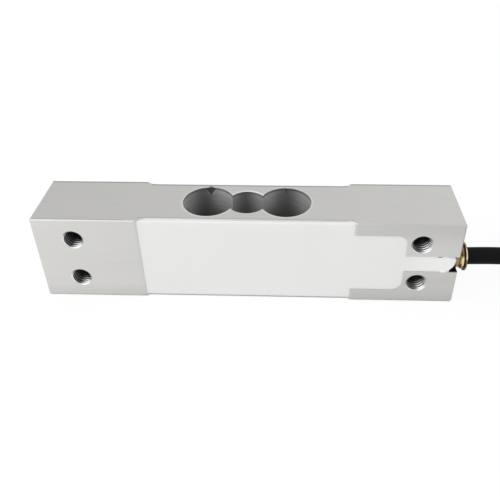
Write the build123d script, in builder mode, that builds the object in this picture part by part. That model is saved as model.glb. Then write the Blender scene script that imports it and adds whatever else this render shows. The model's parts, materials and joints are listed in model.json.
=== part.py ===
"""Single point load cell: an aluminium beam that lies on its side, with its cable wound up beside it.

Sizes are in millimetres. X runs along the beam towards the cable, Y goes through its thickness
from the front gauge face to the rear one, and Z goes up its width. The origin is under the
middle of the beam, on the surface that it lies on.
"""

import os
from math import pi, radians, sqrt, tan

from build123d import *

# Beam
beam_length = 130.0
beam_thick = 22.0
beam_width = 30.0
edge_break = 0.3

# Thinned middle of the two gauge faces
recess_length = 66.0
recess_depth = 1.3
recess_angle = 38.0
recess_root_radius = 3.5
recess_lip_radius = 1.2

# Double eye through the width, with a smaller hole between the eyes
eye_diameter = 16.0
eye_spacing = 24.0
link_diameter = 12.0
rim_break = 0.3

# File marks at the top of the rear wall, where the corners were balanced
left_trim = {"file_radius": 1.5, "bite": 0.6, "drop": 3.0}
right_trim = {"file_radius": 1.0, "bite": 0.3, "drop": 1.6}

# Tapped mounting holes, at the major diameter of their thread
screw_diameter = 6.0
screw_spacing = 15.0
screw_inset = 12.0
screw_sink = 0.3

# Wiring pocket, its two passages to the rear gauges and the cable channel
pocket_eye_wall = 5.0
pocket_screw_wall = 1.4
pocket_width = 21.3
pocket_corner = 3.2
passage_diameter = 2.0
passage_inset = 2.5
channel_width = 6.0

# Cable and its brass ferrule
cable_diameter = 5.4
cable_depth = 4.5
cable_inside = 12.0
ferrule_clearance = 0.03
ferrule_neck_inside = 8.0
ferrule_crease_depth = 0.1
ferrule_crease_reach = 0.35
ferrule_shoulder_diameter = 6.5
ferrule_shoulder_reach = 0.6
ferrule_bead_diameter = 7.8
ferrule_bead_reach = 1.05
ferrule_rim_diameter = 9.0
ferrule_rim_reach = 2.05
ferrule_rim_slope = 0.25
ferrule_rim_length = 0.35
ferrule_mouth_break = 0.5

# Strain gauges
film_length = 8.0
film_thick = 0.1
film_corner = 0.6
film_margin = 0.8
foil_thick = 0.05
grid_bars = 6
grid_length = 5.0
grid_pitch = 0.8
grid_bar = 0.4
tab_length = 1.8

# Ribbon leads from the gauges to the terminal board
lead_width = 1.0
lead_thick = 0.5
lead_bend = 0.9
lead_landing = 2.5
front_lane = 4.5
rear_lane = 6.3

# Terminal board and its two chip resistors
board_length = 11.0
board_width = 15.0
board_thick = 0.8
board_end_gap = 3.6
chip_length = 3.2
chip_width = 1.6
chip_height = 0.6
chip_cap = 0.5
chip_cap_proud = 0.05
chip_spacing = 9.0

# Cores of the cable
core_diameter = 1.1
core_lay = 0.75
drain_diameter = 0.6
core_pad_pitch = 2.6
core_landing = 2.3
bare_diameter = 0.7
bare_length = 5.0
fan_length = 23.0
fan_pitch = 5.6

# Silicone sealant
sealant_sink = 0.35
sealant_side_gap = 0.3
sealant_rear_gap = 1.0
sealant_round = 0.7
sealant_bed = 0.5
plug_round = 0.9

# Open end of the sealant in the channel, from the end face and the middle of the width
plug_low = (-2.6, -3.0)
plug_belly = (-1.15, -1.1)
plug_nose = (-0.7, 0.8)
plug_shoulder = (-1.15, 2.1)
plug_high = (-2.4, 2.75)
plug_gap = (-3.8, 3.0)

# Cable lead-out and the hank that holds the rest of the cable
hank_start_x = 108.5
hank_straight = 60.0
hank_fold_radius = 16.5
hank_low_end = 9.5
lead_out_turn_x = 92.0
lead_out_landing = 19.5
tie_width = 2.5
tie_thick = 0.5
tie_head_side = 4.5
tie_head_height = 3.0

# Tail of the cable, which lies on the floor inside the hank
tail_start = 6.0
tail_knee = (146.0, 17.5)
tail_end = (122.0, 12.5)

# Places that follow from the sizes above
mid_width = beam_width / 2
waist_thick = beam_thick - 2 * recess_depth
eye_edge = (eye_spacing + eye_diameter) / 2
screw_x = beam_length / 2 - screw_inset
pocket_start = eye_edge + pocket_eye_wall
pocket_end = screw_x - screw_diameter / 2 - pocket_screw_wall
passage_x = pocket_start + passage_inset
cable_y = -beam_thick / 2 + cable_depth
pocket_floor_y = cable_y + channel_width / 2
cable_start_x = beam_length / 2 - cable_inside
cable_radius = cable_diameter / 2


def tube(route, radii, diameter):
    """A round tube along straight runs that are joined by tangent arcs."""
    with BuildPart() as made:
        with BuildLine() as path:
            FilletPolyline(*route, radius=radii)
        with BuildSketch(Plane(origin=path.line @ 0, z_dir=path.line % 0)):
            Circle(diameter / 2)
        sweep(path=path.line)
    return made


def wire(cut, start, end, diameter, tip_length=0):
    """A straight round wire from a cable's cut end, given as its normal, with a bare tip if asked for."""
    way = Vector(*end) - Vector(*start)
    with BuildPart() as made:
        with BuildSketch(Plane(origin=start, z_dir=cut)):
            Circle(diameter / 2)
        extrude(amount=way.length, dir=way)
        if tip_length:
            with BuildSketch(Plane(origin=end, z_dir=cut)):
                Circle(bare_diameter / 2)
            extrude(amount=tip_length, dir=way)
    return made


def cable_radii(route):
    """The largest arcs that the runs of a cable's route have room for, one for each corner."""
    radii = []
    for before, corner, after in zip(route, route[1:], route[2:]):
        run_in = Vector(*corner) - Vector(*before)
        run_out = Vector(*after) - Vector(*corner)
        half_turn = radians(run_in.get_angle(run_out)) / 2
        radii.append(0.45 * min(run_in.length, run_out.length) / tan(half_turn))
    return radii


# Wiring pocket and cable channel as one solid, for the beam to lose and the sealant to fill
with BuildPart() as cavity:
    with BuildSketch(Plane.XZ.offset(beam_thick / 2)):
        with Locations(((pocket_start + pocket_end) / 2, mid_width)):
            RectangleRounded(pocket_end - pocket_start, pocket_width, pocket_corner)
    extrude(amount=-(pocket_floor_y + beam_thick / 2))
    with BuildSketch(Plane.YZ.offset(pocket_end - pocket_corner)):
        with Locations((cable_y, mid_width)):
            Circle(channel_width / 2)
            Rectangle(cable_depth, channel_width, align=(Align.MAX, Align.CENTER))
    extrude(amount=beam_length / 2 - pocket_end + pocket_corner)

# Spring element: waisted block, double eye, tapped holes, pocket, channel and passages
with BuildPart() as spring_body:
    with BuildSketch(Plane.XY) as outline:
        Rectangle(beam_length, beam_thick)
        for side, turn in ((-1, 0), (1, 180)):
            with Locations((0, side * beam_thick / 2)):
                Trapezoid(
                    recess_length,
                    recess_depth,
                    recess_angle,
                    rotation=turn,
                    align=(Align.CENTER, Align.MIN),
                    mode=Mode.SUBTRACT,
                )
        roots = outline.vertices().filter_by(lambda v: abs(v.Y) < (beam_thick - recess_depth) / 2)
        fillet(roots, recess_root_radius)
        lips = outline.vertices().filter_by(
            lambda v: abs(v.Y) > (beam_thick - recess_depth) / 2 and abs(v.X) < screw_x
        )
        fillet(lips, recess_lip_radius)
    extrude(amount=beam_width)
    long_edges = spring_body.faces().filter_by(Axis.Z).edges()
    end_edges = spring_body.edges().filter_by(Axis.Z).filter_by(lambda e: abs(e.center().X) > screw_x)
    chamfer(long_edges + end_edges, edge_break)
    with BuildSketch(Plane.XY):
        with GridLocations(eye_spacing, 0, 2, 1):
            Circle(eye_diameter / 2)
        Circle(link_diameter / 2)
    extrude(amount=beam_width, mode=Mode.SUBTRACT)
    rims = spring_body.edges().filter_by(GeomType.CIRCLE).filter_by(
        lambda e: abs(e.center().X) < eye_edge and abs(e.center().Y) < eye_diameter / 2
    )
    chamfer(rims, rim_break)
    with BuildSketch(Plane.XZ.offset(beam_thick / 2)):
        with Locations((0, mid_width)):
            with GridLocations(2 * screw_x, screw_spacing, 2, 2):
                Circle(screw_diameter / 2)
    extrude(amount=-beam_thick, mode=Mode.SUBTRACT)
    mouths = spring_body.edges().filter_by(GeomType.CIRCLE).filter_by(
        lambda e: abs(e.radius - screw_diameter / 2) < edge_break
    )
    chamfer(mouths, screw_sink)
    add(cavity.part, mode=Mode.SUBTRACT)
    with BuildSketch(Plane.XZ.offset(-pocket_floor_y)):
        with Locations((passage_x, mid_width)):
            with GridLocations(0, 2 * rear_lane, 1, 2):
                Circle(passage_diameter / 2)
    extrude(amount=-(beam_thick / 2 - pocket_floor_y), mode=Mode.SUBTRACT)
    for side, trim in ((-1, left_trim), (1, right_trim)):
        top = (side * eye_spacing / 2, eye_diameter / 2 + trim["bite"] - trim["file_radius"], beam_width)
        with BuildSketch(Plane(origin=top, z_dir=(0, trim["bite"], trim["drop"]))):
            Circle(trim["file_radius"])
        extrude(amount=trim["drop"], both=True, mode=Mode.SUBTRACT)
spring_body.part.label = "spring_body"


def strain_gauge(face, end):
    """A foil gauge over the thin wall of one eye: face -1 is the front, end -1 the free end."""
    tab_side = -end
    tab_z = mid_width + tab_side * (front_lane + rear_lane) / 2
    low = mid_width - tab_side * (grid_bars * grid_pitch / 2 + film_margin)
    high = mid_width + tab_side * (rear_lane + lead_width / 2 + film_margin / 2)
    gauge_x = end * eye_spacing / 2
    with BuildPart() as gauge:
        with BuildSketch(Plane.XZ.offset(-face * waist_thick / 2)):
            with Locations((gauge_x, (low + high) / 2)):
                RectangleRounded(film_length, abs(high - low), film_corner)
        extrude(amount=-face * film_thick)
        with BuildSketch(Plane.XZ.offset(-face * (waist_thick / 2 + film_thick))):
            with Locations((gauge_x, mid_width)):
                with GridLocations(0, grid_pitch, 1, grid_bars):
                    Rectangle(grid_length, grid_bar)
            for turn in range(grid_bars - 1):
                loop_x = gauge_x + (-1) ** turn * (grid_length - grid_bar) / 2
                loop_z = mid_width + (turn + 1 - grid_bars / 2) * grid_pitch
                with Locations((loop_x, loop_z)):
                    Rectangle(grid_bar, grid_pitch)
            for tab in (-1, 1):
                with Locations((gauge_x + tab * (grid_length - tab_length) / 2, tab_z)):
                    Rectangle(tab_length, rear_lane - front_lane + lead_width)
        extrude(amount=-face * foil_thick)
    return gauge


def gauge_lead(face, end):
    """A ribbon lead from a gauge's tabs along the recess and down to the terminal board."""
    lane = front_lane if face < 0 else rear_lane
    lane_z = mid_width - end * lane
    over_floor = film_thick + foil_thick + lead_thick / 2
    start_x = end * eye_spacing / 2
    recess_y = face * (waist_thick / 2 + over_floor)
    board_y = pocket_floor_y - board_thick - lead_thick / 2
    landing_x = board_start_x + lead_landing
    if face < 0:
        corners = [(passage_x, recess_y), (board_start_x - lead_bend, board_y)]
    else:
        corners = [(passage_x, recess_y), (passage_x, board_y)]
    with BuildPart() as lead:
        with BuildSketch(Plane.XY.offset(lane_z - lead_width / 2)):
            with BuildLine():
                FilletPolyline((start_x, recess_y), *corners, (landing_x, board_y), radius=lead_bend)
            trace(line_width=lead_thick)
        extrude(amount=lead_width)
    return lead


# Terminal board on the floor of the pocket
board_end_x = pocket_end - board_end_gap
board_start_x = board_end_x - board_length
with BuildPart() as terminal_board:
    with BuildSketch(Plane.XZ.offset(-pocket_floor_y)):
        with Locations(((board_start_x + board_end_x) / 2, mid_width)):
            Rectangle(board_length, board_width)
    extrude(amount=board_thick)
terminal_board.part.label = "terminal_board"


def chip_resistor(side):
    """A chip resistor with its two metal end caps, across the board."""
    with BuildPart() as chip:
        with BuildSketch(Plane.XZ.offset(board_thick - pocket_floor_y)):
            with Locations(((board_start_x + board_end_x) / 2, mid_width + side * chip_spacing / 2)):
                Rectangle(chip_width, chip_length)
        extrude(amount=chip_height - chip_cap_proud)
        with BuildSketch(Plane.XZ.offset(board_thick - pocket_floor_y)):
            with Locations(((board_start_x + board_end_x) / 2, mid_width + side * chip_spacing / 2)):
                with GridLocations(0, chip_length - chip_cap, 1, 2):
                    Rectangle(chip_width + 2 * chip_cap_proud, chip_cap)
        extrude(amount=chip_height)
    return chip


gauges = []
leads = []
for face_name, face in (("front", -1), ("rear", 1)):
    for end_name, end in (("left", -1), ("right", 1)):
        gauge = strain_gauge(face, end)
        gauge.part.label = f"strain_gauge_{face_name}_{end_name}"
        gauges.append(gauge)
        lead = gauge_lead(face, end)
        lead.part.label = f"gauge_lead_{face_name}_{end_name}"
        leads.append(lead)

zero_resistor = chip_resistor(-1)
zero_resistor.part.label = "zero_resistor"
span_resistor = chip_resistor(1)
span_resistor.part.label = "span_resistor"

# Cores between the cable's inner end and the terminal board
core_places = {
    "green": {"aside": -core_lay, "up": -core_lay, "pad": -1.5, "fan": -0.5},
    "white": {"aside": core_lay, "up": -core_lay, "pad": -0.5, "fan": 0.5},
    "black": {"aside": -core_lay, "up": core_lay, "pad": 0.5, "fan": -1.5},
    "red": {"aside": core_lay, "up": core_lay, "pad": 1.5, "fan": 1.5},
    "shield": {"aside": 0, "up": 0, "pad": 0, "fan": 0},
}
board_top_y = pocket_floor_y - board_thick
inner_cores = []
for colour, place in core_places.items():
    thick = drain_diameter if colour == "shield" else core_diameter
    pad_y = board_top_y - thick / 2
    pad_z = mid_width + place["pad"] * core_pad_pitch
    cable_end = (cable_start_x, cable_y + place["aside"], mid_width + place["up"])
    core = wire((-1, 0, 0), cable_end, (board_end_x - core_landing, pad_y, pad_z), thick)
    core.part.label = f"core_inner_{colour}"
    inner_cores.append(core)

# Brass ferrule round the cable, with a flared end outside the beam
bore_radius = cable_radius + ferrule_clearance
neck_radius = channel_width / 2 - ferrule_clearance
crease_radius = neck_radius - ferrule_crease_depth
bead_radius = ferrule_bead_diameter / 2
rim_radius = ferrule_rim_diameter / 2
beam_end_x = beam_length / 2
neck_end_x = beam_end_x - ferrule_neck_inside
bead_x = beam_end_x + ferrule_bead_reach
rim_x = beam_end_x + ferrule_rim_reach
rim_end_x = rim_x + ferrule_rim_length
cable_axis = Plane(origin=(0, cable_y, mid_width), x_dir=(1, 0, 0), z_dir=(0, -1, 0))
with BuildPart() as cable_ferrule:
    with BuildSketch(cable_axis):
        with BuildLine():
            Polyline(
                (neck_end_x, bore_radius),
                (neck_end_x, neck_radius),
                (beam_end_x, neck_radius),
                (beam_end_x + ferrule_crease_reach, crease_radius),
                (beam_end_x + ferrule_shoulder_reach, ferrule_shoulder_diameter / 2),
                (bead_x, bead_radius),
                (rim_x - ferrule_rim_slope, bead_radius),
                (rim_x, rim_radius),
                (rim_end_x, rim_radius),
                (rim_end_x, bore_radius + ferrule_mouth_break),
                (rim_end_x - ferrule_mouth_break, bore_radius),
                close=True,
            )
        make_face()
    revolve(axis=Axis((0, cable_y, mid_width), (1, 0, 0)))
cable_ferrule.part.label = "cable_ferrule"

# Hank: the upper turn lies in the groove beside the lower one, tied on the near side
hank_step = cable_radius
stack_rise = sqrt(cable_diameter**2 - hank_step**2)
stacked_z = cable_radius + stack_rise
hank_end_x = hank_start_x + hank_straight
hank_mid_x = (hank_start_x + hank_end_x) / 2
hank_mid_y = cable_y + hank_fold_radius
hank_outer_width = 2 * (hank_fold_radius + hank_step + cable_radius)
hank_outer_length = hank_straight + hank_outer_width
bundle_width = cable_diameter + hank_step
bundle_height = stacked_z + cable_radius
bundle_y = hank_mid_y - (hank_outer_width - bundle_width) / 2
with BuildPart() as hank_tie:
    with BuildSketch(Plane.YZ.offset(hank_mid_x - tie_width / 2)):
        with Locations((bundle_y, bundle_height / 2)):
            Rectangle(bundle_width, bundle_height)
            Rectangle(bundle_width - 2 * tie_thick, bundle_height - 2 * tie_thick, mode=Mode.SUBTRACT)
    extrude(amount=tie_width)
    with BuildSketch(Plane.XY.offset(bundle_height)):
        with Locations((hank_mid_x, bundle_y)):
            Rectangle(tie_head_side, tie_head_side)
    extrude(amount=tie_head_height)
hank_tie.part.label = "hank_tie"

with BuildPart() as cable_hank:
    with BuildSketch():
        with Locations((hank_mid_x, hank_mid_y)):
            SlotOverall(hank_outer_length, hank_outer_width)
            SlotOverall(
                hank_outer_length - 2 * bundle_width,
                hank_outer_width - 2 * bundle_width,
                mode=Mode.SUBTRACT,
            )
    extrude(amount=bundle_height)
    with BuildSketch(Plane.XY.offset(cable_diameter)):
        with Locations((hank_start_x + hank_low_end, hank_mid_y)):
            Rectangle(hank_outer_length, hank_outer_width, align=(Align.MAX, Align.CENTER))
    extrude(amount=bundle_height - cable_diameter, mode=Mode.SUBTRACT)
    add(hank_tie.part, mode=Mode.SUBTRACT)
cable_hank.part.label = "cable_hank"

# Cable from inside the channel, through the ferrule and down onto the hank
lead_out_route = [
    (cable_start_x, cable_y, mid_width),
    (lead_out_turn_x, cable_y, mid_width),
    (hank_start_x + lead_out_landing, cable_y, stacked_z),
]
lead_out_radii = cable_radii(lead_out_route)
cable_lead_out = tube(lead_out_route, lead_out_radii, cable_diameter)
tube_length = cable_lead_out.part.volume / (pi * cable_radius**2)
with cable_lead_out:
    add(cable_hank.part, mode=Mode.SUBTRACT)
cable_lead_out.part.label = "cable_lead_out"
print(f"cable_lead_out: arc radii {[round(r, 1) for r in lead_out_radii]}, length {tube_length:.1f}")

# End of the cable, which leaves the hank inwards and lies on the floor inside it
tail_route = [
    (hank_end_x - tail_start, hank_mid_y + hank_fold_radius + hank_step, cable_radius),
    (*tail_knee, cable_radius),
    (*tail_end, cable_radius),
]
tail_radii = cable_radii(tail_route)
cable_tail = tube(tail_route, tail_radii, cable_diameter)
tail_length = cable_tail.part.volume / (pi * cable_radius**2)
with cable_tail:
    add(cable_hank.part, mode=Mode.SUBTRACT)
cable_tail.part.label = "cable_tail"
print(f"cable_tail: arc radii {[round(r, 1) for r in tail_radii]}, length {tail_length:.1f}")

# Cores at the stripped far end, fanned out down to the floor, with tinned tips
tail_way = Vector(*tail_end) - Vector(*tail_knee)
tail_plane = Plane(origin=(*tail_end, cable_radius), x_dir=(0, 0, 1), z_dir=tail_way)
far_cores = []
for colour, place in core_places.items():
    thick = drain_diameter if colour == "shield" else core_diameter
    root = Vector(place["up"], place["aside"], 0)
    tip = Vector(bare_diameter / 2 - cable_radius, place["fan"] * fan_pitch, fan_length)
    bared = tip + (root - tip).normalized() * bare_length
    ends = [tail_plane.from_local_coords(point) for point in (root, bared)]
    far_core = wire(tail_way, *ends, thick, bare_length)
    far_core.part.label = f"core_far_{colour}"
    far_cores.append(far_core)

# Sealant over the rear gauges
with BuildPart() as rear_sealant:
    with BuildSketch(Plane.YZ.offset(-recess_length / 2)) as rear_section:
        with Locations((beam_thick / 2 - sealant_sink, mid_width)):
            Rectangle(
                recess_depth + sealant_bed - sealant_sink,
                beam_width - 2 * sealant_rear_gap,
                align=(Align.MAX, Align.CENTER),
            )
        fillet(rear_section.vertices().group_by(Axis.X)[-1], sealant_round)
    extrude(amount=recess_length)
    add(spring_body.part, mode=Mode.SUBTRACT)
    for film in gauges:
        space = film.part.bounding_box()
        with Locations(space.center()):
            Box(*space.size, mode=Mode.SUBTRACT)
    for buried in leads:
        add(buried.part, mode=Mode.SUBTRACT)
rear_sealant.part.label = "rear_sealant"

# Sealant over the front gauges, which also fills the pocket and the channel round the wiring
low_z = mid_width - pocket_width / 2
high_z = mid_width + pocket_width / 2
plug_marks = (plug_low, plug_belly, plug_nose, plug_shoulder, plug_high, plug_gap)
low, belly, nose, shoulder, high, gap = [(beam_end_x + x, mid_width + z) for x, z in plug_marks]
with BuildPart() as front_sealant:
    with BuildSketch(Plane.XZ.offset(beam_thick / 2 - sealant_sink)):
        with BuildLine():
            Polyline(
                (gap[0], high_z), (pocket_start, high_z), (pocket_start, low_z), (low[0], low_z), low
            )
            ThreePointArc(low, belly, nose)
            ThreePointArc(nose, shoulder, high)
            Polyline(high, gap, (gap[0], high_z))
        make_face()
    extrude(amount=-(pocket_floor_y + beam_thick / 2 - sealant_sink))
    plug_edge = front_sealant.edges().filter_by(GeomType.CIRCLE).group_by(Axis.Y)[0]
    fillet(plug_edge, plug_round)
    add(cavity.part, mode=Mode.INTERSECT)
    with BuildSketch(Plane.YZ.offset(-recess_length / 2)) as front_section:
        with Locations((sealant_sink - beam_thick / 2, mid_width)):
            Rectangle(
                recess_depth + sealant_bed - sealant_sink,
                beam_width - 2 * sealant_side_gap,
                align=(Align.MIN, Align.CENTER),
            )
        fillet(front_section.vertices().group_by(Axis.X)[0], sealant_round)
    extrude(amount=recess_length)
    add(spring_body.part, mode=Mode.SUBTRACT)
    for film in gauges:
        space = film.part.bounding_box()
        with Locations(space.center()):
            Box(*space.size, mode=Mode.SUBTRACT)
    wiring = leads + inner_cores + [terminal_board, zero_resistor, span_resistor]
    for buried in wiring + [cable_ferrule, cable_lead_out]:
        add(buried.part, mode=Mode.SUBTRACT)
front_sealant.part.label = "front_sealant"

os.makedirs("parts", exist_ok=True)
cable_pieces = [cable_ferrule, cable_lead_out, cable_hank, cable_tail, hank_tie] + far_cores
for piece in [spring_body, front_sealant, rear_sealant] + gauges + wiring + cable_pieces:
    export_step(piece.part, f"parts/{piece.part.label}.step")
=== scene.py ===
# %% [markdown]
# # Single point load cell
#
# A load cell of this kind is one aluminium beam. Two eyes and a slot between them leave four thin
# walls, which bend a little when something is weighed. A strain gauge sits over each thin wall,
# and white silicone covers the gauges and their wiring. The signal leaves through a cable, which
# a brass ferrule holds in the end of the beam.
#
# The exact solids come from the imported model. This lesson loads them, gives them their finishes,
# and adds what a solid model leaves out: the screw threads, a smear of silicone, the adhesive
# round the ferrule, the lay of the cable and its tie.
# The frame is that of the solids: X runs along the beam to the cable, Y goes from the front gauge
# face to the rear one, and Z goes up. Blender counts in metres, but a part this small is easier
# to think of in millimetres, so sizes are written in millimetres and multiplied by mm in use.

# %% Load the solids
import json
from math import cos, pi, radians

import bmesh
import bpy
from mathutils import Matrix, Vector


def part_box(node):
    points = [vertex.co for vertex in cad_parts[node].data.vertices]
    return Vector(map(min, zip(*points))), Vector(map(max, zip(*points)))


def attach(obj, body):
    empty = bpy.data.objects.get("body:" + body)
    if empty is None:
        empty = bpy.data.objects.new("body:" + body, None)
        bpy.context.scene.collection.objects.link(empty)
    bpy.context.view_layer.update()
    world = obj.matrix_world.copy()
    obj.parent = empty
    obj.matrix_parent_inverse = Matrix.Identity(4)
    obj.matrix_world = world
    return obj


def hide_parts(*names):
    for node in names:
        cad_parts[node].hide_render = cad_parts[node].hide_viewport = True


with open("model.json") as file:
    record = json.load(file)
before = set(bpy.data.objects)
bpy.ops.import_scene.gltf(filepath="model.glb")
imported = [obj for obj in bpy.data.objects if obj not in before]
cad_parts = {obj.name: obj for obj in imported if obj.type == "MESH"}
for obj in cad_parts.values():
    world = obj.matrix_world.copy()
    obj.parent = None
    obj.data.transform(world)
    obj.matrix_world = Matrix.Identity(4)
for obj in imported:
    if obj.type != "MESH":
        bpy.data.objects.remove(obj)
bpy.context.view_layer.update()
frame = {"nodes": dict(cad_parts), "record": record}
nodes = frame["nodes"]
mm = 0.001

# %% [markdown]
# ## Sizes from the solids
#
# What is added later has to sit on the beam, so its places are read from the solids and from the
# record's bolt pattern where these hold them. Typing them again would work too, until somebody
# changes the beam. Only what no box shows, such as the radius of an eye, is a number here.

# %% Sizes from the solids
half_length, half_thick, beam_width = (round(value / mm, 2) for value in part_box("spring_body")[1])
mid_width = beam_width / 2
waist_y = 9.7
eye_x = 12.0
eye_radius = 8.0
link_radius = 6.0

bolts = next(mount for mount in frame["record"]["mounts"] if mount["name"] == "cable_end_bolts")
screw_x = round(bolts["pos_m"][0] / mm, 2)
screw_rise = bolts["dims"]["spacing_y_mm"] / 2
screw_radius = bolts["dims"]["hole_r_mm"]
screw_sink = 0.3

ferrule_low, ferrule_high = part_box("cable_ferrule")
cable_y = round((ferrule_low.y + ferrule_high.y) / 2 / mm, 1)
cable_z = mid_width
ferrule_end_x = round(ferrule_high.x / mm, 2)
print("beam", 2 * half_length, "x", 2 * half_thick, "x", beam_width, "mm, screws at", screw_x)

# %% [markdown]
# ## Camera
#
# The photograph's picture plane and lens were worked out from the corners of the beam, whose
# proportions are known. A camera could be aimed at the part with a constraint, but that leaves no
# roll and puts its target in the middle. So it turns about three axes: first a small roll about
# its own view, then the tilt from straight down, then the turn about the vertical. The middle of
# the picture isn't on the lens axis, because the photograph was trimmed, so the lens is shifted.

# %% Camera
view_turn = radians(2.92)
view_tilt = radians(90 - 33.69)
view_roll = radians(-0.964)
view_place = Vector((12.514, -151.433, 133.060)) * mm

camera_data = bpy.data.cameras.new("camera")
camera_data.sensor_width = 36
camera_data.lens = 42.54
camera_data.shift_x = -0.02469
camera_data.shift_y = -0.10703
camera_data.clip_start = 0.005
camera = bpy.data.objects.new("camera", camera_data)
bpy.context.scene.collection.objects.link(camera)
camera.matrix_world = (
    Matrix.Translation(view_place)
    @ Matrix.Rotation(view_turn, 4, "Z")
    @ Matrix.Rotation(view_tilt, 4, "X")
    @ Matrix.Rotation(view_roll, 4, "Z")
)
bpy.context.scene.camera = camera
print("camera", [round(value, 3) for value in camera.matrix_world.translation])

# %% [markdown]
# ## Cable
#
# The cable is a round shielded one of 5.4 mm. It could be a swept mesh, but a curve with a round
# bevel keeps its own centre line, is smooth everywhere and is easy to route by hand. A NURBS
# spline of order 3 stays inside its control points, so it never dips through the floor. The
# part of the cable that the photograph doesn't show is wound into a small flat hank beside the
# beam: out along the near side, round, and back, with each turn lying in the groove of the last.
# The straight stretches are listed points, and the half turns of the hank are a loop.

# %% Sizes of the hank
cable_diameter = 5.4
cable_start_x = half_length - 12
lying = cable_diameter / 2
stacked = 7.38
near_x, far_x = 108.5, 168.5
tie_x = 138.5
low_y = -9.2
far_middle_y = 10
upper_radius = far_middle_y - cable_y
lower_radius = far_middle_y - low_y
inner_y = far_middle_y + upper_radius
outer_y = far_middle_y + lower_radius
near_middle_y = (inner_y + low_y) / 2
near_radius = (inner_y - low_y) / 2
print("hank turns of", upper_radius, round(lower_radius, 2), round(near_radius, 2), "mm")

# %% Route of the cable
def fold(centre, radius, start, end, height, count=7):
    """Control points for a half turn; they stand outside the arc, because the spline cuts inside them."""
    step = radians(end - start) / count
    reach = radius / cos(step / 2)
    angles = [radians(start) + (index + 0.5) * step for index in range(count)]
    return [(*(Vector(centre) + Matrix.Rotation(angle, 2) @ Vector((reach, 0))), height) for angle in angles]


route = [(cable_start_x, cable_y, cable_z), (66, cable_y, cable_z), (72, cable_y, 15.22)]
route += [(78, cable_y, 15.3), (92, cable_y, 14.9), (108, cable_y, 12), (127, cable_y, 7.7)]
route += [(tie_x, cable_y, 8.05), (153, cable_y, stacked)]
route += fold((far_x, far_middle_y), upper_radius, -90, 90, stacked)
route += [(163, inner_y, 8.0), (155, inner_y, 8.3), (145, inner_y, 8.1), (131, inner_y, 4.6)]
route += [(119, inner_y, lying)]
route += fold((near_x, near_middle_y), near_radius, 90, 270, lying)
route += [(118, low_y, lying), (130, low_y, lying), (tie_x, low_y, 3.4), (147, low_y, lying)]
route += [(158, low_y, lying)]
route += fold((far_x, far_middle_y), lower_radius, -90, 90, lying)
route += [(163, outer_y, lying), (146, 17.5, lying), (134, 14.5, lying), (122, 12.5, lying)]
print("route of", len(route), "points, from", route[0], "to", route[-1])

# %% Cable
cable_curve = bpy.data.curves.new("signal_cable", "CURVE")
cable_curve.dimensions = "3D"
cable_curve.bevel_depth = 1.0
cable_curve.bevel_resolution = 7
cable_curve.resolution_u = 8
cable_curve.use_fill_caps = True
spline = cable_curve.splines.new("NURBS")
spline.points.add(len(route) - 1)
for point, place in zip(spline.points, route):
    point.co = (*(value * mm for value in place), 1)
    point.radius = cable_diameter / 2 * mm
spline.order_u = 3
spline.use_endpoint_u = True
signal_cable = bpy.data.objects.new("signal_cable", cable_curve)
bpy.context.scene.collection.objects.link(signal_cable)
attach(signal_cable, "root")
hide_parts("cable_lead_out", "cable_hank", "cable_tail")
cable_outside = spline.calc_length() - (ferrule_end_x - cable_start_x) * mm
print("cable:", round(cable_outside, 4), "m outside the ferrule")

# %% [markdown]
# ## Helpers for finishes
#
# A finish is a Principled shader with a few patterns on top. Nodes could be placed and linked one
# by one, which takes four lines each and hides what the finish does. So these helpers add a node
# with its values and its links in one call, and a finish then reads like a formula.

# %% Node helpers
def set_socket(tree, socket, value):
    """Sets an input to a value, or links it to another node's output."""
    if isinstance(value, bpy.types.NodeSocket):
        tree.links.new(value, socket)
    else:
        socket.default_value = value


def add_node(tree, kind, settings=None, **inputs):
    """A node with its settings; an input goes by its label, or by its number as in i0."""
    node = tree.nodes.new(kind)
    for name, value in (settings or {}).items():
        setattr(node, name, value)
    for name, value in inputs.items():
        numbered = name[0] == "i" and name[1:].isdigit()
        socket = node.inputs[int(name[1:]) if numbered else name.replace("_", " ")]
        set_socket(tree, socket, value)
    return node


def maths(tree, operation, first, second=0.0, third=0.0):
    settings = {"operation": operation}
    return add_node(tree, "ShaderNodeMath", settings, i0=first, i1=second, i2=third).outputs[0]


def product(tree, first, *others):
    for other in others:
        first = maths(tree, "MULTIPLY", first, other)
    return first


def largest(tree, first, *others):
    for other in others:
        first = maths(tree, "MAXIMUM", first, other)
    return first


def rest_of(tree, share):
    return maths(tree, "SUBTRACT", 1.0, share)


def vector_maths(tree, operation, first, second=(0, 0, 0)):
    node = add_node(tree, "ShaderNodeVectorMath", {"operation": operation}, i0=first, i1=second)
    return node.outputs["Value" if operation in ("LENGTH", "DOT_PRODUCT") else "Vector"]


def parts(tree, vector):
    """The three parts of a vector."""
    return add_node(tree, "ShaderNodeSeparateXYZ", i0=vector).outputs


def mix_colour(tree, share, first, second):
    return add_node(tree, "ShaderNodeMix", {"data_type": "RGBA"}, i0=share, i6=first, i7=second).outputs[2]


def mix_value(tree, share, first, second):
    return add_node(tree, "ShaderNodeMix", {"data_type": "FLOAT"}, i0=share, i2=first, i3=second).outputs[0]


def smooth_step(tree, value, low, high, at_low=0.0, at_high=1.0):
    """Goes smoothly from one level to another while the value goes from low to high."""
    settings = {"interpolation_type": "SMOOTHSTEP"}
    limits = {"From_Min": low, "From_Max": high, "To_Min": at_low, "To_Max": at_high}
    return add_node(tree, "ShaderNodeMapRange", settings, Value=value, **limits).outputs[0]


def place_on_part(tree):
    """The place on the part, in millimetres."""
    where = add_node(tree, "ShaderNodeTexCoord").outputs["Object"]
    return vector_maths(tree, "MULTIPLY", where, (1 / mm, 1 / mm, 1 / mm))


print("node helpers ready")

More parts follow.
